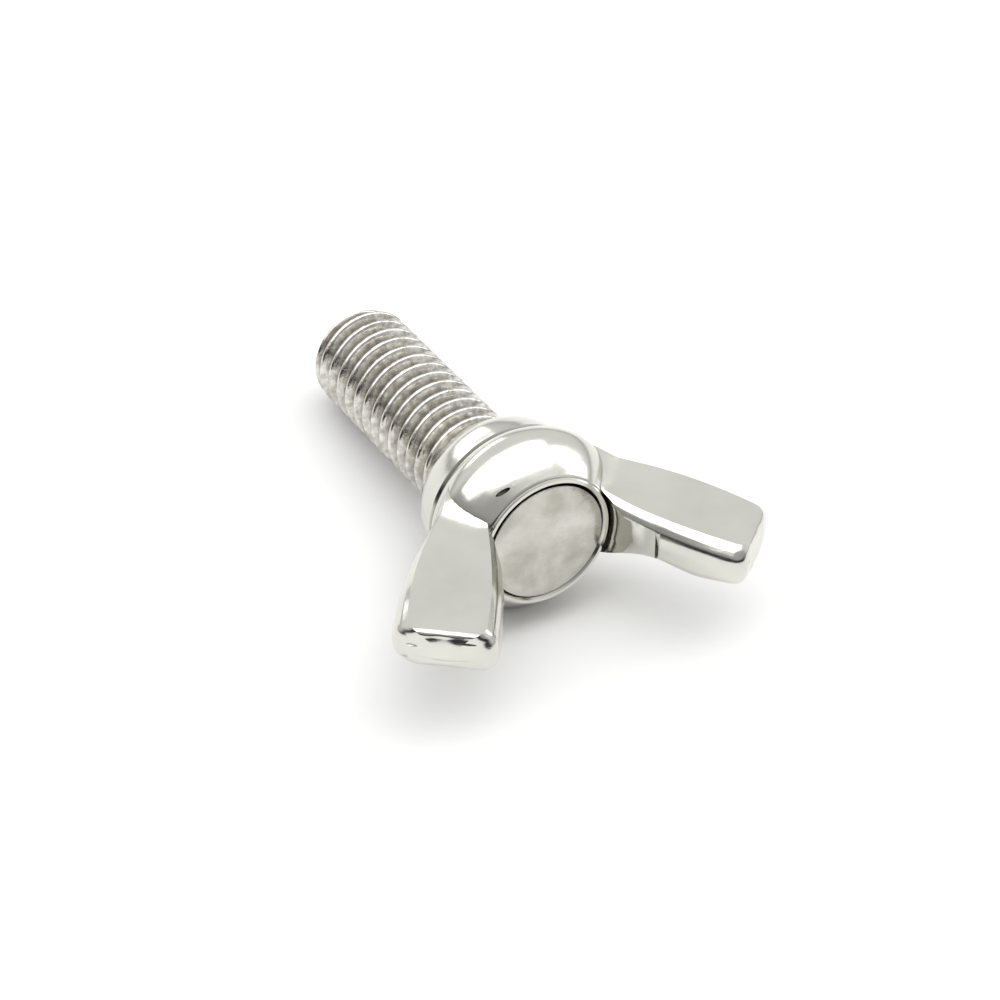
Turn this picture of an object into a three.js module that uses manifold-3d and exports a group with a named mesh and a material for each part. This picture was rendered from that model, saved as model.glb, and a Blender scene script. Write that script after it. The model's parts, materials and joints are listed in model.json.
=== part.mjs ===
// Wing screw, M6 x 15: a cast wing head with a threaded stud pressed into it from the top.
// Millimetres, +Z up. The screw lies at rest on the dome of its head and the tip of its stud.
// Heights in the sizes below run along the screw's own axis, from the seat face under the head.
import * as THREE from 'three';
import { mergeVertices } from 'three/addons/utils/BufferGeometryUtils.js';
import { ParametricGeometry } from 'three/addons/geometries/ParametricGeometry.js';
import Module from 'manifold-3d';

// Stud: full thread from the tip to just inside the head, then a plain shank.
const threadDiameter = 6;
const threadPitch = 1;
const threadLength = 15; // seat face to the end of the stud
const threadInHead = 1; // how far the thread runs on inside the head
const crestAngle = 126; // where a crest passes crestHeight, in degrees around the axis
const crestHeight = 0.53;
const tipDiameter = 4.5; // flat end face
const tipChamfer = 1; // length of the cone behind it
const shankUndercut = 0.1; // shank radius under the thread's
const facetsPerTurn = 32;

// Round plug at the top of the stud, which fills the mouth of the head.
const plugShoulder = 0.35; // radial step from the thread to the plug
const plugLand = 0.7; // smooth band at the top
const plugChamfer = 0.1;
const knurlLength = 1.5; // straight knurl below the band
const knurlTeeth = 30;
const knurlDepth = 0.14;
const pressGap = 0.12; // drawn clearance of the press fit, all round and under the plug

// Hub: a turned outline from the seat up over a collar, a groove and a dome to the lip.
const hubHeight = 6.75;
const seatWidth = 0.75; // width of the ring-shaped seat outside the thread
const collarSwell = 0.62; // collar's radius over the seat's, low down
const collarHeight = 0.87;
const grooveSwell = 1.1; // radius at the foot of the groove over the seat's
const grooveHeight = 2.75;
const grooveDepth = 0.1;
const domeSwell = 1.62; // dome's largest radius over the seat's
const domeHeight = 4.25;
const lipWidth = 0.4; // wall left around the plug
const hubFacets = 72;

// Wings: two flat-faced blades that lean outwards and thin towards the tip.
const wingLean = 54.5; // degrees from the seat plane to a wing's middle line
const wingInset = 1; // the middle line leaves the hub this far inside the dome's radius
const wingStep = 1.3; // and this far above the dome's widest height
const wingLength = 8.2; // along the middle line from there to the tip
const wingRootWidth = 2.35; // width of the flat face
const wingTipWidth = 4;
const wingTipSlant = 0.28; // head side of the tip stands this much ahead of the middle
const wingBow = 0.4; // how far the long edges bow out
const wingEdge = 0.7; // how far the round edge stands out of the flat face
const wingCorner = 0.35; // corner radius of the flat face at the tip
const wingBury = 2.4; // how far the blade runs on into the hub
const thickness = { rootHead: 3.8, rootStud: 5.1, tipHead: 2.9, tipStud: 2.3 };

const threadRadius = threadDiameter / 2;
const threadDepth = 0.6134 * threadPitch;
const plugRadius = threadRadius + plugShoulder;
const plugHeight = plugLand + knurlLength;
const seatRadius = threadRadius + seatWidth;
const domeRadius = seatRadius + domeSwell;
const lipRadius = plugRadius + pressGap + lipWidth;

const stainless = new THREE.MeshStandardMaterial({ color: 0xb9b8b2, roughness: 0.22, metalness: 1 });
const rolledSteel = new THREE.MeshStandardMaterial({ color: 0xa9a79f, roughness: 0.38, metalness: 1 });

const wasm = await Module();
wasm.setup();

// A closed surface as a solid that can be joined and cut.
function solid(geometry) {
  const bare = geometry.clone();
  for (const name of ['normal', 'uv']) bare.deleteAttribute(name);
  const merged = mergeVertices(bare, 1e-5);
  const index = merged.getIndex();
  const triangles = [];
  for (let i = 0; i < index.count; i += 3) {
    const [a, b, c] = [index.getX(i), index.getX(i + 1), index.getX(i + 2)];
    if (a !== b && b !== c && c !== a) triangles.push(a, b, c);
  }
  const mesh = new wasm.Mesh({
    numProp: 3,
    vertProperties: new Float32Array(merged.getAttribute('position').array),
    triVerts: new Uint32Array(triangles),
  });
  return new wasm.Manifold(mesh);
}

// A solid as a named mesh of the scene.
function named(name, body, material) {
  const { vertProperties, triVerts } = body.getMesh();
  const geometry = new THREE.BufferGeometry();
  geometry.setAttribute('position', new THREE.BufferAttribute(vertProperties, 3));
  geometry.setIndex(new THREE.BufferAttribute(triVerts, 1));
  const mesh = new THREE.Mesh(geometry, material);
  mesh.name = name;
  return mesh;
}

// A round solid about the axis, from [radius, height] points that run up its outline.
function turned(points, facets) {
  const outline = points.map(([radius, height]) => new THREE.Vector2(radius, height));
  return solid(new THREE.LatheGeometry(outline, facets).rotateX(Math.PI / 2));
}

// A bar with a helical ridge from bottom to top. The crest and root flats are an eighth and
// a quarter of the pitch, as on a metric thread. Both ends run in to a point on the axis.
function threadedBar(bottom, top) {
  const corners = [-1 / 16, 1 / 16, 3 / 8, 5 / 8];
  const firstTurn = Math.floor(bottom / threadPitch) - 2;
  const turns = Math.ceil(top / threadPitch) + 2 - firstTurn;
  const rows = turns * corners.length;
  const surface = (across, along, point) => {
    const row = Math.round(along * rows);
    const corner = row % corners.length;
    const phase = firstTurn + (row - corner) / corners.length + corners[corner] + across;
    const height = phase * threadPitch + crestHeight;
    const angle = THREE.MathUtils.degToRad(crestAngle) + across * 2 * Math.PI;
    const radius = corner < 2 ? threadRadius : threadRadius - threadDepth;
    if (height < bottom || height > top) point.set(0, 0, THREE.MathUtils.clamp(height, bottom, top));
    else point.set(radius * Math.cos(angle), radius * Math.sin(angle), height);
  };
  return solid(new ParametricGeometry(surface, facetsPerTurn, rows));
}

function threadedStud() {
  const envelope = turned([
    [0, -threadLength],
    [tipDiameter / 2, -threadLength],
    [threadRadius + 0.01, -threadLength + tipChamfer],
    [threadRadius + 0.01, threadInHead],
    [0, threadInHead],
  ], facetsPerTurn);
  const thread = threadedBar(-threadLength - 2 * threadPitch, threadInHead + 2 * threadPitch);
  const plugFoot = hubHeight - plugHeight;
  const knurlTop = hubHeight - plugLand;
  const shankRadius = threadRadius - shankUndercut;
  const shank = turned([
    [0, threadInHead - 0.5],
    [threadRadius - threadDepth, threadInHead - 0.5],
    [shankRadius, threadInHead],
    [shankRadius, plugFoot],
    [plugRadius - knurlDepth, plugFoot],
    [plugRadius - knurlDepth, knurlTop],
    [plugRadius, knurlTop],
    [plugRadius, hubHeight - plugChamfer],
    [plugRadius - plugChamfer, hubHeight],
    [0, hubHeight],
  ], 2 * knurlTeeth);
  return thread.intersect(envelope).add(shank).add(knurl(plugFoot, knurlTop));
}

// Straight knurl: a star outline drawn up along the axis.
function knurl(foot, top) {
  const star = new THREE.Shape();
  for (let i = 0; i < 2 * knurlTeeth; i += 1) {
    const radius = i % 2 ? plugRadius - knurlDepth : plugRadius;
    const angle = (i * Math.PI) / knurlTeeth;
    star[i ? 'lineTo' : 'moveTo'](radius * Math.cos(angle), radius * Math.sin(angle));
  }
  const bar = new THREE.ExtrudeGeometry(star, { depth: top - foot, bevelEnabled: false });
  return solid(bar.translate(0, 0, foot));
}

// Points of a smooth curve through the given [radius, height] points.
function curved(points, pieces) {
  const curve = new THREE.SplineCurve(points.map(([radius, height]) => new THREE.Vector2(radius, height)));
  return curve.getPoints(pieces).map((point) => [point.x, point.y]);
}

function hub() {
  const grooveRadius = seatRadius + grooveSwell;
  const grooveFloor = grooveRadius - grooveDepth;
  const collar = curved([
    [seatRadius, 0],
    [seatRadius + collarSwell, collarHeight],
    [grooveRadius, grooveHeight - grooveDepth],
  ], 10);
  const dome = curved([
    [grooveRadius, grooveHeight + grooveDepth],
    [domeRadius, domeHeight],
    [lipRadius + 0.35 * (domeRadius - lipRadius), domeHeight + 0.75 * (hubHeight - domeHeight)],
    [lipRadius, hubHeight],
  ], 15);
  return turned([[0, 0], ...collar, [grooveFloor, grooveHeight], ...dome, [0, hubHeight]], hubFacets);
}

// Stepped hole for the stud: thread and shank below, plug above.
function bore() {
  const holeRadius = threadRadius + pressGap;
  const mouthRadius = plugRadius + pressGap;
  const shoulder = hubHeight - plugHeight - pressGap;
  return turned([
    [0, -1],
    [holeRadius, -1],
    [holeRadius, shoulder],
    [mouthRadius, shoulder],
    [mouthRadius, hubHeight + 1],
    [0, hubHeight + 1],
  ], 2 * knurlTeeth);
}

// Half of the flat face's width at a distance along the wing's middle line.
function faceHalfWidth(along) {
  return THREE.MathUtils.lerp(wingRootWidth, wingTipWidth, along / wingLength) / 2;
}

// Half of the blade's thickness at a point of its face; across runs from the head side to the stud side.
function halfThickness(along, across) {
  const { lerp, clamp } = THREE.MathUtils;
  const out = clamp(along / wingLength, -0.1, 1.1);
  const side = clamp(0.5 + across / (2 * faceHalfWidth(along)), -0.1, 1.1);
  const root = lerp(thickness.rootHead, thickness.rootStud, side);
  const tip = lerp(thickness.tipHead, thickness.tipStud, side);
  return lerp(root, tip, out) / 2;
}

// Flat face's outline: x along the middle line, y across it, the stud side positive.
function wingFace() {
  const root = faceHalfWidth(-wingBury);
  const tip = wingTipWidth / 2;
  const middle = (wingLength - wingBury) / 2;
  const bowed = faceHalfWidth(middle) + wingBow;
  const head = wingLength + wingTipSlant;
  const stud = wingLength - wingTipSlant;
  const face = new THREE.Shape();
  face.moveTo(-wingBury, -root);
  face.quadraticCurveTo(middle, -2 * bowed + (root + tip) / 2, head - wingCorner, -tip);
  face.quadraticCurveTo(head, -tip, head, -tip + wingCorner);
  face.lineTo(stud, tip - wingCorner);
  face.quadraticCurveTo(stud, tip, stud - wingCorner, tip);
  face.quadraticCurveTo(middle, 2 * bowed - (root + tip) / 2, -wingBury, root);
  return face;
}

// One blade on the +X side, its round edges swelling out past the two flat faces.
function wing() {
  const half = 1;
  const blade = new THREE.ExtrudeGeometry(wingFace(), {
    depth: 0.5 * half,
    bevelThickness: 0.75 * half,
    bevelSize: wingEdge,
    bevelSegments: 5,
    curveSegments: 8,
  });
  blade.translate(0, 0, -0.25 * half);
  const lean = THREE.MathUtils.degToRad(wingLean);
  const start = new THREE.Vector2(domeRadius - wingInset, domeHeight + wingStep);
  const place = blade.getAttribute('position');
  for (let i = 0; i < place.count; i += 1) {
    const [along, across, depth] = [place.getX(i), place.getY(i), place.getZ(i)];
    place.setXYZ(
      i,
      start.x + along * Math.cos(lean) + across * Math.sin(lean),
      depth * halfThickness(along, across),
      start.y + along * Math.sin(lean) - across * Math.cos(lean),
    );
  }
  return blade;
}

function wingHead() {
  const right = wing();
  const left = right.clone().rotateZ(Math.PI);
  return hub().add(solid(right)).add(solid(left)).subtract(bore());
}

// Angle by which the axis rises from the tip to the head when the screw lies down.
function restingTilt() {
  return Math.atan2(domeRadius - threadRadius, domeHeight + threadLength - tipChamfer);
}

const screw = new THREE.Group();
screw.add(named('wing_head', wingHead(), stainless));
screw.add(named('threaded_stud', threadedStud(), rolledSteel));
screw.rotation.x = Math.PI / 2 - restingTilt();

// The origin is under the middle of the lying screw, on the surface that it lies on.
const part = new THREE.Group();
part.add(screw);
part.updateMatrixWorld(true);
const box = new THREE.Box3().setFromObject(screw, true);
const middle = box.getCenter(new THREE.Vector3());
screw.position.set(-middle.x, -middle.y, -box.min.z);
export default part;
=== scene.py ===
import json
import math
from collections import namedtuple

import bmesh
import bpy
from mathutils import Matrix, Vector, noise


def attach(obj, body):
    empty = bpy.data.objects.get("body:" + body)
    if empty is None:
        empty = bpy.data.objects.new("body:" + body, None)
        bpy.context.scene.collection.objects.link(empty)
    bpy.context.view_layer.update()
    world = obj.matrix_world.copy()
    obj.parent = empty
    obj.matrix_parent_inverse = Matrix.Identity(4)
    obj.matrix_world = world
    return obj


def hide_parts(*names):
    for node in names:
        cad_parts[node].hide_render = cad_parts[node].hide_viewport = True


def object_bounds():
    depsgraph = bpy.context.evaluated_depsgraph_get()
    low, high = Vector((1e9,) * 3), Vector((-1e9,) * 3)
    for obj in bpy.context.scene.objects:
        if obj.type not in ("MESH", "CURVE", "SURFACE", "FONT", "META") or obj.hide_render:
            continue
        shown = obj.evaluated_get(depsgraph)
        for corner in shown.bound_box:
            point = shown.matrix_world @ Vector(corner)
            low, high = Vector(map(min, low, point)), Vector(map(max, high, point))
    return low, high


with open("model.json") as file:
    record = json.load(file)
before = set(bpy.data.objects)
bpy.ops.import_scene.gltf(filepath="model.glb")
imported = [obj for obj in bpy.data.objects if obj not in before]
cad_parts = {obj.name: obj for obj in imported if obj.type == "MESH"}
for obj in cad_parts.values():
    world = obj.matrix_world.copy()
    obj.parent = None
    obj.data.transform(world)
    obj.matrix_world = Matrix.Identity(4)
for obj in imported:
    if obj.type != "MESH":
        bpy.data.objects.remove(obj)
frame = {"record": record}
cad_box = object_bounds()

# ---------------------------------------------------------------------------
# Stud: a stainless bar with a rolled M6 x 1 thread, a turned plug and a straight
# knurl at its top. It is pressed into the head from above until the plug is flush
# with the lip. Rolling leaves narrow bright crests and satin flanks.
thread_length = 15.0
thread_top = 1.0
pitch = 1.0
crest_radius = 3.0
root_radius = crest_radius - 0.6134 * pitch
half_crest = 1 / 16
half_root = 1 / 8
flank_ease = 0.28
outline_steps = 18
steps_per_turn = 96
spare_turns = 2
start_angle = math.radians(126)
start_height = 0.53
tip_radius = 2.25
tip_slope = 0.75
weld = 1e-4
turn_weld = 2e-3


def thread_outline():
    """One pitch of the thread from crest to crest as [radius, height], crest and root rounded."""
    corners = []
    for i in range(outline_steps + 1):
        from_crest = abs(i / outline_steps - round(i / outline_steps))
        up_flank = (0.5 - half_root - from_crest) / (0.5 - half_root - half_crest)
        up_flank = min(max(up_flank, 0.0), 1.0)
        eased = up_flank * up_flank * (3 - 2 * up_flank)
        rise = (1 - flank_ease) * up_flank + flank_ease * eased
        corners.append((root_radius + (crest_radius - root_radius) * rise, i / outline_steps * pitch))
    return corners


def turn_down(vert, radius):
    """Brings a point in to a radius, as a lathe tool does."""
    share = radius / math.hypot(vert.co.x, vert.co.y)
    if share < 1:
        vert.co.x *= share
        vert.co.y *= share


def threaded_bar():
    """One turn of the thread is spun, repeated along the bar and cut off at both ends."""
    bm = bmesh.new()
    turns = math.ceil((thread_length + thread_top) / pitch) + 2 * spare_turns
    start = math.floor(-thread_length / pitch) - spare_turns + start_height
    points = [bm.verts.new((radius, 0, start + height)) for radius, height in thread_outline()]
    edges = [bm.edges.new(pair) for pair in zip(points, points[1:])]
    bmesh.ops.rotate(bm, verts=points, cent=(0, 0, 0), matrix=Matrix.Rotation(start_angle, 3, "Z"))
    bmesh.ops.spin(
        bm, geom=points + edges, cent=(0, 0, 0), axis=(0, 0, 1),
        dvec=(0, 0, pitch / steps_per_turn), angle=2 * math.pi,
        steps=steps_per_turn, use_merge=False,
    )
    one_turn = bm.verts[:] + bm.edges[:] + bm.faces[:]
    for turn in range(1, turns):
        copy = bmesh.ops.duplicate(bm, geom=one_turn)
        moved = [part for part in copy["geom"] if isinstance(part, bmesh.types.BMVert)]
        bmesh.ops.translate(bm, verts=moved, vec=(0, 0, turn * pitch))
    bmesh.ops.remove_doubles(bm, verts=bm.verts[:], dist=turn_weld)
    for height, outwards in ((-thread_length, -1), (thread_top, 1)):
        cut = bmesh.ops.bisect_plane(
            bm, geom=bm.verts[:] + bm.edges[:] + bm.faces[:], dist=weld / 10,
            plane_co=(0, 0, height), plane_no=(0, 0, outwards), clear_outer=True,
        )
        rim = [edge for edge in cut["geom_cut"] if isinstance(edge, bmesh.types.BMEdge)]
        bmesh.ops.holes_fill(bm, edges=rim, sides=0)
    # a cone chamfers the end and cuts the last crests down
    for vert in bm.verts:
        turn_down(vert, tip_radius + tip_slope * max(0.0, vert.co.z + thread_length))
    bmesh.ops.recalc_face_normals(bm, faces=bm.faces[:])
    return bm


def spun(outline, steps):
    """A round solid about the axis from the [radius, height] points of its outline."""
    bm = bmesh.new()
    points = [bm.verts.new((radius, 0, height)) for radius, height in outline]
    edges = [bm.edges.new(pair) for pair in zip(points, points[1:])]
    bmesh.ops.spin(
        bm, geom=points + edges, cent=(0, 0, 0), axis=(0, 0, 1),
        angle=2 * math.pi, steps=steps, use_merge=True,
    )
    bmesh.ops.remove_doubles(bm, verts=bm.verts[:], dist=weld)
    bmesh.ops.recalc_face_normals(bm, faces=bm.faces[:])
    return bm


hub_height = 6.75
shank_radius = 2.9
shank_neck = 0.3
neck_radius = root_radius - 0.05
plug_foot = hub_height - 2.2
foot_break = 0.15
plug_radius = 3.41
plug_face = hub_height - 0.02
plug_edge = 0.04
edge_round = 0.3 * plug_edge
plug_dish = 0.05
dish_steps = [(0.86, 0.4), (0.6, 0.8)]
plug_facets = 120
knurl_teeth = 30
knurl_root = 3.22
knurl_top = hub_height - 0.7

plug = spun([
    (0, thread_top - shank_neck),
    (neck_radius, thread_top - shank_neck),
    (shank_radius, thread_top),
    (shank_radius, plug_foot),
    (plug_radius - foot_break, plug_foot),
    (plug_radius, plug_foot + foot_break),
    (plug_radius, plug_face - plug_edge),
    (plug_radius - edge_round, plug_face - edge_round),
    (plug_radius - plug_edge, plug_face),
    *[(share * plug_radius, plug_face - sunk * plug_dish) for share, sunk in dish_steps],
    (0, plug_face - plug_dish),
], plug_facets)
# knurl: every other pair of the plug's facets is pushed in below the smooth band
for vert in plug.verts:
    between_teeth = math.cos(knurl_teeth * math.atan2(vert.co.y, vert.co.x)) < 0
    on_plug = math.hypot(vert.co.x, vert.co.y) > knurl_root
    if between_teeth and on_plug and vert.co.z < knurl_top:
        turn_down(vert, knurl_root)
for face in plug.faces:
    face.material_index = 1

stud = threaded_bar()
plug_mesh = bpy.data.meshes.new("plug")
plug.to_mesh(plug_mesh)
plug.free()
stud.from_mesh(plug_mesh)
bpy.data.meshes.remove(plug_mesh)


def tumbled_surface():
    """What tumbling leaves on stainless steel: slow ripples, blotches, fine pits, hair scratches."""
    group = bpy.data.node_groups.new("tumbled_steel", "ShaderNodeTree")
    sockets = group.interface
    sockets.new_socket("Vector", in_out="INPUT", socket_type="NodeSocketVector")
    for name, value in (("Ripple", 0.5), ("Pits", 0.5), ("Scratches", 0.5), ("Patch Scale", 260)):
        sockets.new_socket(name, in_out="INPUT", socket_type="NodeSocketFloat").default_value = value
    for name in ("Patches", "Grain", "Height"):
        sockets.new_socket(name, in_out="OUTPUT", socket_type="NodeSocketFloat")
    nodes, links = group.nodes, group.links
    given = nodes.new("NodeGroupInput").outputs
    out = nodes.new("NodeGroupOutput").inputs

    def feed(socket, value):
        """Gives a socket a number of its own or another node's output."""
        if isinstance(value, bpy.types.NodeSocket):
            links.new(value, socket)
        else:
            socket.default_value = value

    def cloud(scale, detail, roughness=0.5, place=given["Vector"]):
        node = nodes.new("ShaderNodeTexNoise")
        feed(node.inputs["Vector"], place)
        feed(node.inputs["Scale"], scale)
        node.inputs["Detail"].default_value = detail
        node.inputs["Roughness"].default_value = roughness
        return node.outputs["Fac"]

    def ramp(value, low, high):
        node = nodes.new("ShaderNodeMapRange")
        node.inputs["From Min"].default_value = low
        node.inputs["From Max"].default_value = high
        links.new(value, node.inputs["Value"])
        return node.outputs["Result"]

    def combine(operation, first, second):
        node = nodes.new("ShaderNodeMath")
        node.operation = operation
        feed(node.inputs[0], first)
        feed(node.inputs[1], second)
        return node.outputs["Value"]

    # two sets of stretched noise at odd angles make the scratches
    sets = []
    for turn in (0.6, 2.1):
        stretch = nodes.new("ShaderNodeMapping")
        stretch.inputs["Rotation"].default_value = (turn, 0.7 * turn, turn)
        stretch.inputs["Scale"].default_value = (700, 9000, 9000)
        links.new(given["Vector"], stretch.inputs["Vector"])
        hair = cloud(scale=1, detail=2, place=stretch.outputs["Vector"])
        sets.append(ramp(hair, low=0.62, high=0.72))
    scratches = combine("MAXIMUM", *sets)

    ripples = cloud(scale=420, detail=2)
    pits = ramp(cloud(scale=5200, detail=3, roughness=0.6), low=0.36, high=0.26)
    grain = cloud(scale=9000, detail=4, roughness=0.65)
    blotches = cloud(scale=given["Patch Scale"], detail=4, roughness=0.55)

    grain_relief = 0.03
    cut_relief = 0.12
    height = combine(
        "ADD", combine("MULTIPLY", ripples, given["Ripple"]), combine("MULTIPLY", grain, grain_relief)
    )
    for cuts, strength in ((pits, given["Pits"]), (scratches, given["Scratches"])):
        depth = combine("MULTIPLY", combine("MULTIPLY", cuts, strength), cut_relief)
        height = combine("SUBTRACT", height, depth)
    links.new(ramp(blotches, low=0.34, high=0.66), out["Patches"])
    links.new(combine("MAXIMUM", grain, scratches), out["Grain"])
    links.new(height, out["Height"])
    return group


tumbled = tumbled_surface()


def steel(name, crease_shade, dark, light, crease_reach, smooth, rough, ripple, pits, scratches, patches, bump):
    """A stainless finish between two colours and two roughnesses, its colour darkened in creases as
    painted shade.
    """
    material = bpy.data.materials.new(name)
    material.use_nodes = True
    nodes, links = material.node_tree.nodes, material.node_tree.links
    shader = nodes["Principled BSDF"]
    shader.inputs["Metallic"].default_value = 1
    place = nodes.new("ShaderNodeTexCoord")
    surface = nodes.new("ShaderNodeGroup")
    surface.node_tree = tumbled
    surface.inputs["Ripple"].default_value = ripple
    surface.inputs["Pits"].default_value = pits
    surface.inputs["Scratches"].default_value = scratches
    surface.inputs["Patch Scale"].default_value = patches
    links.new(place.outputs["Object"], surface.inputs["Vector"])
    colour = nodes.new("ShaderNodeMix")
    colour.data_type = "RGBA"
    colour.inputs["A"].default_value = (*dark, 1)
    colour.inputs["B"].default_value = (*light, 1)
    links.new(surface.outputs["Patches"], colour.inputs["Factor"])
    # painted shade: where ambient occlusion finds a crease, a gap or a thread root, the colour is
    # darkened towards the crease colour
    crease = nodes.new("ShaderNodeAmbientOcclusion")
    crease.samples = 8
    crease.inputs["Distance"].default_value = crease_reach
    open_air = nodes.new("ShaderNodeMapRange")
    open_air.inputs["From Min"].default_value = 0.4
    open_air.inputs["From Max"].default_value = 0.9
    links.new(crease.outputs["AO"], open_air.inputs["Value"])
    crease_shade_mix = nodes.new("ShaderNodeMix")
    crease_shade_mix.data_type = "RGBA"
    crease_shade_mix.inputs["A"].default_value = (*crease_shade, 1)
    links.new(open_air.outputs["Result"], crease_shade_mix.inputs["Factor"])
    links.new(colour.outputs["Result"], crease_shade_mix.inputs["B"])
    links.new(crease_shade_mix.outputs["Result"], shader.inputs["Base Color"])
    polish = nodes.new("ShaderNodeMapRange")
    polish.inputs["To Min"].default_value = smooth
    polish.inputs["To Max"].default_value = rough
    links.new(surface.outputs["Grain"], polish.inputs["Value"])
    links.new(polish.outputs["Result"], shader.inputs["Roughness"])
    relief = nodes.new("ShaderNodeBump")
    relief.inputs["Strength"].default_value = 1
    relief.inputs["Distance"].default_value = bump
    links.new(surface.outputs["Height"], relief.inputs["Height"])
    links.new(relief.outputs["Normal"], shader.inputs["Normal"])
    return material


# the first colour of each finish is the painted shade mixed into its creases
rolled_steel = steel(
    "rolled_steel", crease_shade=(0.15, 0.138, 0.12), dark=(0.46, 0.44, 0.4), light=(0.82, 0.805, 0.755),
    crease_reach=0.00055, smooth=0.08, rough=0.24, ripple=0.5, pits=1.0, scratches=0.4,
    patches=2400, bump=0.00005,
)
faced_steel = steel(
    "faced_steel", crease_shade=(0.02, 0.018, 0.015), dark=(0.43, 0.415, 0.37), light=(0.62, 0.605, 0.56),
    crease_reach=0.0004, smooth=0.16, rough=0.32, ripple=2.6, pits=0.8, scratches=0.12,
    patches=520, bump=0.00006,
)

# The screw lies on the dome of its head and the tip of its stud. So both pieces are
# shaped upright in millimetres, seat at height 0 and head up, and are then laid down
# about the end of the stud, which the drawing gives.
mm = 0.001
stud_end = next(mount for mount in frame["record"]["mounts"] if mount["name"] == "stud_end")
towards_head = -Vector(stud_end["axis"]).normalized()
across_wings = Vector((1, 0, 0))
upper_side = towards_head.cross(across_wings)
seat_centre = Vector(stud_end["pos_m"]) + towards_head * thread_length * mm
lying = Matrix((across_wings, upper_side, towards_head)).transposed().to_4x4()
lying.translation = seat_centre
lying = lying @ Matrix.Scale(mm, 4)


def lay_down(name, bm, materials, node):
    """A finished shape as a piece that stands for its node of the drawing."""
    mesh = bpy.data.meshes.new(name)
    bm.to_mesh(mesh)
    bm.free()
    mesh.transform(lying)
    for material in materials:
        mesh.materials.append(material)
    mesh.shade_smooth()
    piece = bpy.data.objects.new(name, mesh)
    bpy.context.scene.collection.objects.link(piece)
    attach(piece, "root")
    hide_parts(node)
    return piece


lay_down("stud", stud, [rolled_steel, faced_steel], "threaded_stud")

# ---------------------------------------------------------------------------
# Wing head: one stainless casting. The hub was turned outside and bored, a strip
# of the +X blade was trimmed where the metal was poured in, and the whole head was
# tumbled bright. Use has knocked the dome and the tips a little.
hub_facets = 160
curve_pieces = 8
seat_radius = 3.75
seat_edge = 0.02
collar_points = [(seat_radius + 0.08, 0.03), (seat_radius + 0.62, 0.87), (4.66, 1.75)]
groove_radius = 4.85
groove_height = 2.75
groove_depth = 0.12
dome_radius = 5.37
dome_height = 4.25
dome_points = [(5.21, 3.45), (dome_radius, dome_height), (5.12, 5.0), (4.55, 5.85)]
lip_radius = 3.87
lip_round = 0.07
lip_foot = hub_height - 0.15
step_width = 0.06
step_foot = hub_height - 0.17


def smooth_curve(points, pieces):
    """Catmull-Rom curve through [radius, height] points, with pieces between each two."""
    points = [Vector(point) for point in points]
    ends = [2 * points[0] - points[1]] + points + [2 * points[-1] - points[-2]]
    found = []
    for before, start, stop, after in zip(ends, ends[1:], ends[2:], ends[3:]):
        for piece in range(pieces):
            t = piece / pieces
            found.append(
                start
                + 0.5 * t * (stop - before)
                + t * t * (before - 2.5 * start + 2 * stop - 0.5 * after)
                + t ** 3 * (1.5 * (start - stop) + 0.5 * (after - before))
            )
    found.append(points[-1])
    return [(point.x, point.y) for point in found]


def hub_outline():
    """Outside of the hub from the seat up: collar, groove, dome, a small turned step and the lip."""
    collar_end = (groove_radius, groove_height - groove_depth)
    dome_start = (groove_radius, groove_height + groove_depth)
    dome_end = (lip_radius + step_width, step_foot)
    return [
        (0, 0),
        (seat_radius - seat_edge, 0),
        *smooth_curve([*collar_points, collar_end], curve_pieces),
        (groove_radius - groove_depth, groove_height),
        *smooth_curve([dome_start, *dome_points, dome_end], curve_pieces),
        (lip_radius, lip_foot),
        (lip_radius, hub_height - lip_round),
        (lip_radius - lip_round, hub_height),
        (0, hub_height),
    ]


hole_radius = 3.12
hole_break = 0.05
shoulder = hub_height - 2.32
mouth_radius = 3.46
mouth_chamfer = 0.16
cutter_spare = 1.0
bore_outline = [
    (0, -cutter_spare),
    (hole_radius + hole_break + cutter_spare, -cutter_spare),
    (hole_radius + hole_break, 0),
    (hole_radius, hole_break),
    (hole_radius, shoulder),
    (mouth_radius, shoulder),
    (mouth_radius, hub_height - mouth_chamfer),
    (mouth_radius + mouth_chamfer, hub_height),
    (mouth_radius + mouth_chamfer, hub_height + cutter_spare),
    (0, hub_height + cutter_spare),
]

wing_lean = math.radians(54.5)
wing_start = Vector((dome_radius - 1, dome_height + 1.3))
wing_length = 8.7
wing_bury = 2.4
root_half = 1.175
tip_half = 2.0
tip_slant = 0.28
least_share = -0.3
# each side of the wing: half its thickness at the root, at the tip and under the tip, a
# waist that thins its under side, how far it bows out, and how far its edge hangs over
stud_side = {
    "root": 2.55, "tip": 1.15, "under_tip": 1.25, "waist": 0.0,
    "bow": 0.5, "root_edge": 0.7, "tip_edge": 0.85,
}
head_side = {
    "root": 1.9, "tip": 1.45, "under_tip": 1.05, "waist": 0.6,
    "bow": 0.3, "root_edge": 0.65, "tip_edge": 0.7,
}
waist_place = 3.2
waist_reach = 3.0
tip_corner = 0.8
tip_crown = 0.15
upper_break = 0.3
under_break = 0.75
root_flare = 0.25
flare_length = 1.3
flare_most = 1.2
body_rings = 52
corner_rings = 12
end_rings = 12


def on_wing(along, across, deep):
    """A place on the +X wing: along its length, across it towards the stud, and through it."""
    return Vector((
        wing_start.x + along * math.cos(wing_lean) + across * math.sin(wing_lean),
        deep,
        wing_start.y + along * math.sin(wing_lean) - across * math.cos(wing_lean),
    ))


def along_wing(point):
    """How far out along either wing a point is."""
    outwards = (abs(point.x) - wing_start.x) * math.cos(wing_lean)
    return outwards + (point.z - wing_start.y) * math.sin(wing_lean)


Side = namedtuple("Side", "half upper under edge")


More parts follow.
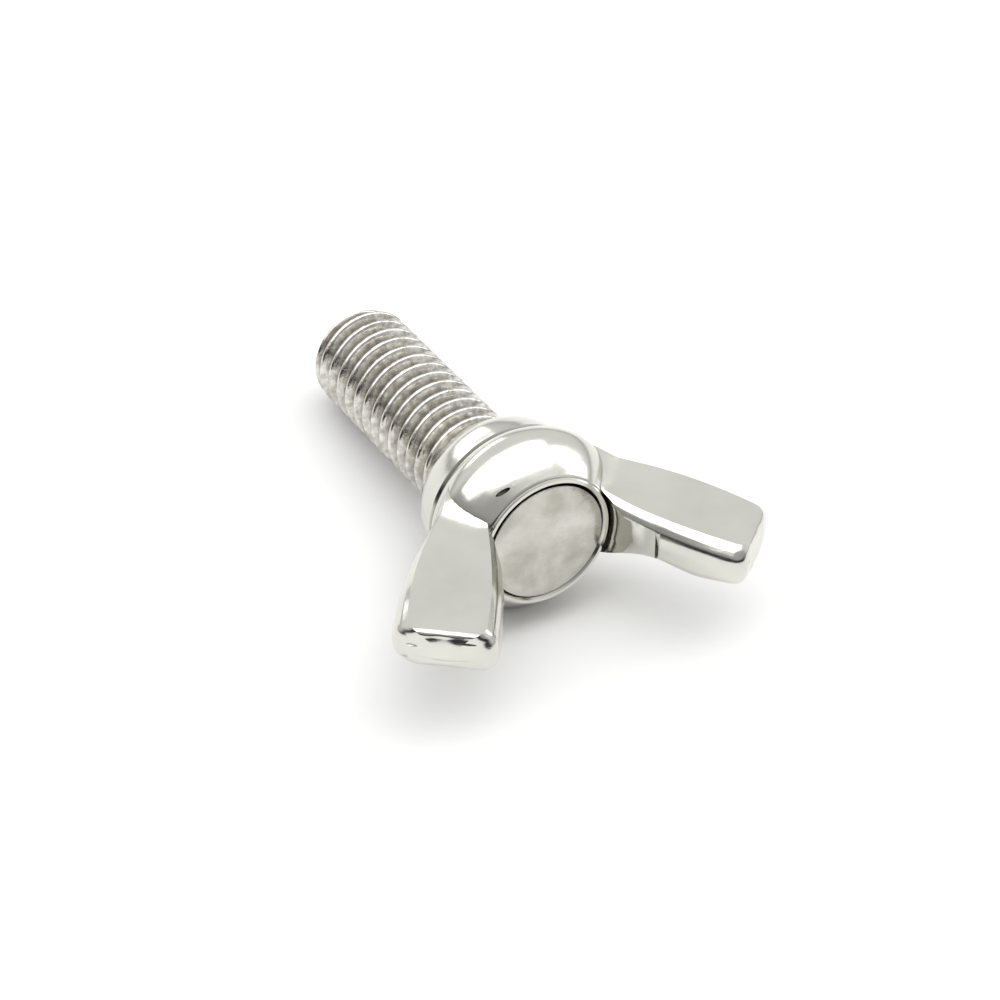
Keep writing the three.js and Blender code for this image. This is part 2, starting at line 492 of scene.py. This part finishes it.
def side_at(side, along):
    """Where one side of the wing's flat runs, half its thickness and its edge's overhang."""
    share = min(max(along / wing_length, least_share), 1.0)
    swell = max(0.0, 1 - (2 * share - 1) ** 2)
    waist = side["waist"] * max(0.0, 1 - ((along - waist_place) / waist_reach) ** 2) ** 2
    return Side(
        half=root_half + (tip_half - root_half) * share + side["bow"] * swell,
        upper=side["root"] + (side["tip"] - side["root"]) * share,
        under=side["root"] + (side["under_tip"] - side["root"]) * share - waist,
        edge=side["root_edge"] + (side["tip_edge"] - side["root_edge"]) * share,
    )


def dome_reach(height):
    """Radius of the hub at a height, where the wing's faces flare out to meet it."""
    outline = hub_outline()[1:-1]
    for (low_radius, low), (high_radius, high) in zip(outline, outline[1:]):
        if low <= height < high:
            return low_radius + (high_radius - low_radius) * (height - low) / (high - low)
    return lip_radius


def blade_ring():
    """One ring of the skin: [place across the flats, share of the edge, share of the thickness].

    The upper faces keep crisp borders; the lower half of the mould was worn, so they are rounder below.
    """
    upper = [
        (0, 1), (0.03, 0.987), (0.14, 0.94), (0.27, 0.885), (0.4, 0.83), (0.52, 0.742),
        (0.63, 0.66), (0.74, 0.58), (0.81, 0.49), (0.86, 0.42), (0.93, 0.22), (1, 0),
    ]
    under = smooth_curve([(1, 0), (0.9, -0.42), (0.55, -0.74), (0.1, -0.93), (-0.4, -1)], 4)
    border = 0.98
    top = [(place, 0, 1) for place in (-border, -0.8, -0.6, -0.4, -0.2, 0, 0.2, 0.4, 0.6, 0.8, border)]
    stud_edge = [(1, out, deep) for out, deep in upper + under[1:]]
    bottom = [(place / 3, 0, -1) for place in (2, 1, 0, -1, -2)]
    head_edge = [(-1, -out, deep) for out, deep in reversed(upper + under[1:])]
    return top + stud_edge + bottom + head_edge


def blade_stations():
    """Rings along the blade, round its corner and in over its end: [place, share of the end face]."""
    body = wing_length - tip_corner
    rings = [(-wing_bury + (body + wing_bury) * i / body_rings, 1) for i in range(body_rings)]
    for i in range(corner_rings + 1):
        rings.append((body + tip_corner * math.sin(math.pi / 2 * i / corner_rings), 1))
    for i in range(1, end_rings + 1):
        left = 1 - i / end_rings
        rings.append((wing_length + tip_crown * (1 - left ** 2), left))
    return rings


def rounded_in(along, radius):
    """How far a side or a face has turned in, near the tip, for a rounding of that radius."""
    into = min(max(0.0, along - (wing_length - radius)), radius)
    return radius - math.sqrt(radius ** 2 - into ** 2)


def blade():
    """The +X wing: a grid rolled into a tube and drawn to the wing's section."""
    bm = bmesh.new()
    ring = blade_ring()
    stations = blade_stations()
    bmesh.ops.create_grid(bm, x_segments=len(ring), y_segments=len(stations) - 1, size=0.5)
    for vert in bm.verts:
        place, out, deep = ring[round((vert.co.x + 0.5) * len(ring)) % len(ring)]
        along, left = stations[round((vert.co.y + 0.5) * (len(stations) - 1))]
        low, high = side_at(head_side, along), side_at(stud_side, along)
        mix = 0.5 + 0.5 * place
        across = place * (low.half * (1 - mix) + high.half * mix - rounded_in(along, tip_corner))
        across += out * (low.edge if place < 0 else high.edge)
        if deep > 0:
            thick = low.upper * (1 - mix) + high.upper * mix - rounded_in(along, upper_break)
        else:
            thick = low.under * (1 - mix) + high.under * mix - rounded_in(along, under_break)
        across *= left
        along -= tip_slant * across / tip_half * max(0.0, min(along / wing_length, 1.0))
        skin = on_wing(along, across, deep * thick * left)
        near = 1 - (math.hypot(skin.x, skin.y) - dome_reach(skin.z)) / flare_length
        skin.y += deep * root_flare * min(max(near, 0.0), flare_most) ** 2
        vert.co = skin
    bmesh.ops.remove_doubles(bm, verts=bm.verts[:], dist=weld)
    bmesh.ops.holes_fill(bm, edges=[edge for edge in bm.edges if edge.is_boundary], sides=0)
    bmesh.ops.recalc_face_normals(bm, faces=bm.faces[:])
    return bm


gate_thickness = 6.0
gate_margin = 2.0


def gate_cut(start, stop, depth, undercut):
    """A block that trims the head-side edge of the +X wing between two places along it."""
    bm = bmesh.new()
    bmesh.ops.create_cube(bm, size=1)
    for vert in bm.verts:
        along = start if vert.co.x < 0 else stop
        edge = side_at(head_side, along)
        deep = vert.co.z * gate_thickness
        across = -(edge.half + edge.edge - depth + undercut * deep)
        if vert.co.y < 0:
            across -= gate_margin
        vert.co = on_wing(along, across, deep)
    bmesh.ops.recalc_face_normals(bm, faces=bm.faces[:])
    return bm


def as_object(name, bm):
    """A shape as an object, so that others can be added to it or cut from it."""
    mesh = bpy.data.meshes.new(name)
    bm.to_mesh(mesh)
    bm.free()
    thing = bpy.data.objects.new(name, mesh)
    bpy.context.scene.collection.objects.link(thing)
    return thing


def combine_with(body, other, operation):
    """Adds another shape to a body or cuts it away, and uses the other shape up."""
    change = body.modifiers.new(operation, "BOOLEAN")
    change.operation = operation
    change.solver = "EXACT"
    change.object = other
    with bpy.context.temp_override(object=body, active_object=body, selected_objects=[body]):
        bpy.ops.object.modifier_apply(modifier=change.name)
    bpy.data.objects.remove(other)


knock_reach = 1.5
knock_depth = 0.05
knock_scale = 1.2
knock_seed = 6

wings = blade()
far_wing = bmesh.ops.duplicate(wings, geom=wings.verts[:] + wings.edges[:] + wings.faces[:])
far_points = [part for part in far_wing["geom"] if isinstance(part, bmesh.types.BMVert)]
bmesh.ops.scale(wings, verts=far_points, vec=(-1, 1, 1))
bmesh.ops.recalc_face_normals(wings, faces=wings.faces[:])
# the tips are knocked about, so no two of their edges are quite straight
noise.seed_set(knock_seed)
for vert in wings.verts:
    knocked = (along_wing(vert.co) - wing_length + knock_reach) / knock_reach
    push = knock_depth * min(max(0.0, knocked), 1.0)
    vert.co += noise.noise_vector(vert.co * knock_scale) * push
wings = as_object("wings", wings)
gate = gate_cut(start=0.4, stop=3.85, depth=0.19, undercut=0)
combine_with(wings, as_object("gate", gate), "DIFFERENCE")
notch = gate_cut(start=3.8, stop=4.08, depth=0.36, undercut=0.17)
combine_with(wings, as_object("notch", notch), "DIFFERENCE")

# facing the lip turns the wings' roots off above the dome
facing_radius = 4.0
facing_foot = hub_height - 1.3
facing_top = hub_height + 4.0
facing = spun([
    (0, facing_foot), (facing_radius, facing_foot), (facing_radius, facing_top), (0, facing_top),
], 96)
combine_with(wings, as_object("facing", facing), "DIFFERENCE")

head = as_object("head", spun(hub_outline(), hub_facets))
combine_with(head, wings, "UNION")
combine_with(head, as_object("bore", spun(bore_outline, hub_facets)), "DIFFERENCE")

Nick = namedtuple("Nick", "place outwards along long wide deep")
nicks = [
    # one on the dome
    Nick((-2.39, 3.64, 6.10), (-0.42, 0.65, 0.63), (1, 0.25, 0), 0.9, 0.24, 0.3),
    # three on the end of the -X wing, and one on its upper border
    Nick((-10.78, 0.25, 11.45), (-0.81, 0.03, 0.58), (0.58, 0.1, 0.81), 0.8, 0.2, 0.14),
    Nick((-10.62, -0.15, 11.7), (-0.81, 0.03, 0.58), (0.3, 0.9, 0.4), 0.7, 0.2, 0.12),
    Nick((-10.95, -0.55, 11.2), (-0.85, -0.3, 0.42), (0.45, 0.3, 0.7), 0.9, 0.22, 0.12),
    Nick((-8.63, 0.85, 13.45), (-0.62, 0.1, 0.78), (-0.814, 0.0, -0.581), 0.9, 0.14, 0.12),
    # one at the corner of the +X wing
    Nick((8.05, 0.5, 14.0), (0.66, 0.0, 0.75), (0.5, 0.8, -0.4), 0.5, 0.22, 0.1),
]
knocks = bmesh.new()
for nick in nicks:
    # a flattened ball is sunk to half its depth
    outwards = Vector(nick.outwards).normalized()
    sideways = outwards.cross(Vector(nick.along)).normalized()
    lengthways = sideways.cross(outwards)
    axes = (lengthways * nick.long / 2, sideways * nick.wide / 2, outwards * nick.deep)
    shape = Matrix(axes).transposed().to_4x4()
    shape.translation = Vector(nick.place)
    bmesh.ops.create_uvsphere(knocks, u_segments=14, v_segments=9, radius=1, matrix=shape)
combine_with(head, as_object("knocks", knocks), "DIFFERENCE")

casting = bmesh.new()
casting.from_mesh(head.data)
bpy.data.objects.remove(head)
bmesh.ops.remove_doubles(casting, verts=casting.verts[:], dist=weld)
bmesh.ops.recalc_face_normals(casting, faces=casting.faces[:])

# the first colour is the painted shade mixed into the casting's creases
polished_casting = steel(
    "polished_casting", crease_shade=(0.16, 0.15, 0.13), dark=(0.62, 0.612, 0.565), light=(0.68, 0.672, 0.62),
    crease_reach=0.0004, smooth=0.11, rough=0.21, ripple=0.8, pits=0.3, scratches=0.08,
    patches=260, bump=0.00004,
)
sharp_from = math.radians(35)
wing_casting = lay_down("wing_casting", casting, [polished_casting], "wing_head")
wing_casting.data.set_sharp_from_angle(angle=sharp_from)

# ---------------------------------------------------------------------------
# Table: a round top of smooth white board, wide enough to run past the view. The
# screw lies near its front edge.
table_radius = 0.4
table_centre = (0.19, 0.22, 0)
board_white = (0.82, 0.82, 0.815, 1)
table = bmesh.new()
bmesh.ops.create_circle(table, cap_ends=True, radius=table_radius, segments=96)
bmesh.ops.translate(table, verts=table.verts[:], vec=table_centre)
table_top = as_object("table_top", table)
board = bpy.data.materials.new("white_board")
board.use_nodes = True
board_shader = board.node_tree.nodes["Principled BSDF"]
board_shader.inputs["Base Color"].default_value = board_white
board_shader.inputs["Roughness"].default_value = 0.6
board_shader.inputs["Specular IOR Level"].default_value = 0.2
table_top.data.materials.append(board)

# ---------------------------------------------------------------------------
# Light: one long soft lamp overhead, a window to the right and a strip behind, in
# a pale room. The walls on the near left are dim, and nearly black by the table.
watts_per_area = 4.0
middle = (Vector(cad_box[0]) + Vector(cad_box[1])) / 2


def soft_box(name, azimuth, elevation, distance, width, height, across, brightness):
    """A rectangular lamp that faces the screw; azimuth is measured from +Y towards +X."""
    side, rise = math.radians(azimuth), math.radians(elevation)
    way = Vector((math.sin(side) * math.cos(rise), math.cos(side) * math.cos(rise), math.sin(rise)))
    lamp = bpy.data.lights.new(name, "AREA")
    lamp.shape = "RECTANGLE"
    lamp.size = width
    lamp.size_y = height
    lamp.energy = watts_per_area * width * height * brightness
    stand = bpy.data.objects.new(name, lamp)
    wide = (Vector(across) - way * way.dot(Vector(across))).normalized()
    stand.matrix_world = Matrix((wide, way.cross(wide), way)).transposed().to_4x4()
    stand.location = middle + way * distance
    bpy.context.scene.collection.objects.link(stand)


soft_box(
    "top_strip", azimuth=-114, elevation=78, distance=0.41,
    width=0.96, height=0.28, across=(1, 0, 0), brightness=1.8,
)
soft_box(
    "side_window", azimuth=98, elevation=28, distance=0.4,
    width=0.085, height=0.29, across=(0, 1, 0), brightness=2.3,
)
soft_box(
    "back_strip", azimuth=0, elevation=10, distance=0.5,
    width=0.26, height=0.085, across=(1, 0, 0), brightness=1.8,
)

# each wall's greys run from the table's level up to the ceiling, as [place, grey], and
# the near wall fades in where the view turns its way
far_wall = [(0.0, 0.3), (0.08, 0.75), (0.3, 0.92), (0.99, 0.95)]
near_wall = [(0.0, 0.015), (0.2, 0.03), (0.28, 0.42), (0.7, 0.5), (0.99, 0.9)]
near_wall_way = (-0.643, -0.766, 0)
near_wall_fade = (-0.1, 0.6)
backdrop_grey = 0.97

room = bpy.data.worlds.new("room")
bpy.context.scene.world = room
room.use_nodes = True
room_nodes, room_links = room.node_tree.nodes, room.node_tree.links
room_nodes.clear()
sight = room_nodes.new("ShaderNodeTexCoord")
split = room_nodes.new("ShaderNodeSeparateXYZ")
room_links.new(sight.outputs["Generated"], split.inputs["Vector"])


def wall(stops):
    """Brightness of a wall by how high the eye looks."""
    ramp = room_nodes.new("ShaderNodeValToRGB")
    ramp.color_ramp.elements.remove(ramp.color_ramp.elements[1])
    for place, grey in stops:
        stop = ramp.color_ramp.elements.new(place)
        stop.color = (grey, grey, grey, 1)
    ramp.color_ramp.elements.remove(ramp.color_ramp.elements[0])
    room_links.new(split.outputs["Z"], ramp.inputs["Fac"])
    return ramp.outputs["Color"]


towards_near = room_nodes.new("ShaderNodeVectorMath")
towards_near.operation = "DOT_PRODUCT"
towards_near.inputs[1].default_value = near_wall_way
room_links.new(sight.outputs["Generated"], towards_near.inputs[0])
nearness = room_nodes.new("ShaderNodeMapRange")
nearness.interpolation_type = "SMOOTHSTEP"
nearness.inputs["From Min"].default_value = near_wall_fade[0]
nearness.inputs["From Max"].default_value = near_wall_fade[1]
room_links.new(towards_near.outputs["Value"], nearness.inputs["Value"])
walls = room_nodes.new("ShaderNodeMix")
walls.data_type = "RGBA"
room_links.new(nearness.outputs["Result"], walls.inputs["Factor"])
room_links.new(wall(far_wall), walls.inputs["A"])
room_links.new(wall(near_wall), walls.inputs["B"])
lit_room = room_nodes.new("ShaderNodeBackground")
room_links.new(walls.outputs["Result"], lit_room.inputs["Color"])
backdrop = room_nodes.new("ShaderNodeBackground")
backdrop.inputs["Color"].default_value = (backdrop_grey, backdrop_grey, backdrop_grey, 1)
# the eye sees a plain backdrop, and the steel reflects the lit room
path = room_nodes.new("ShaderNodeLightPath")
choose = room_nodes.new("ShaderNodeMixShader")
room_links.new(path.outputs["Is Camera Ray"], choose.inputs["Fac"])
room_links.new(lit_room.outputs["Background"], choose.inputs[1])
room_links.new(backdrop.outputs["Background"], choose.inputs[2])
out_world = room_nodes.new("ShaderNodeOutputWorld")
room_links.new(choose.outputs["Shader"], out_world.inputs["Surface"])

# ---------------------------------------------------------------------------
# Camera: from the head end, to its left and above, with a long lens.
azimuth = math.radians(-33.76)
elevation = math.radians(41.42)
tilt = math.radians(6.09)
distance = 0.19475
target = seat_centre + Vector((0.00013, -0.00161, -0.00032))
lens = bpy.data.cameras.new("camera")
lens.sensor_width = 36
lens.lens = 129.83
lens.clip_start = 0.01
lens.clip_end = 10
camera = bpy.data.objects.new("camera", lens)
look = Vector((
    -math.sin(azimuth) * math.cos(elevation),
    math.cos(azimuth) * math.cos(elevation),
    -math.sin(elevation),
))
camera.matrix_world = (
    Matrix.Translation(target - look * distance)
    @ look.to_track_quat("-Z", "Y").to_matrix().to_4x4()
    @ Matrix.Rotation(tilt, 4, "Z")
)
bpy.context.scene.collection.objects.link(camera)
bpy.context.scene.camera = camera
bpy.context.scene.view_settings.view_transform = "Standard"
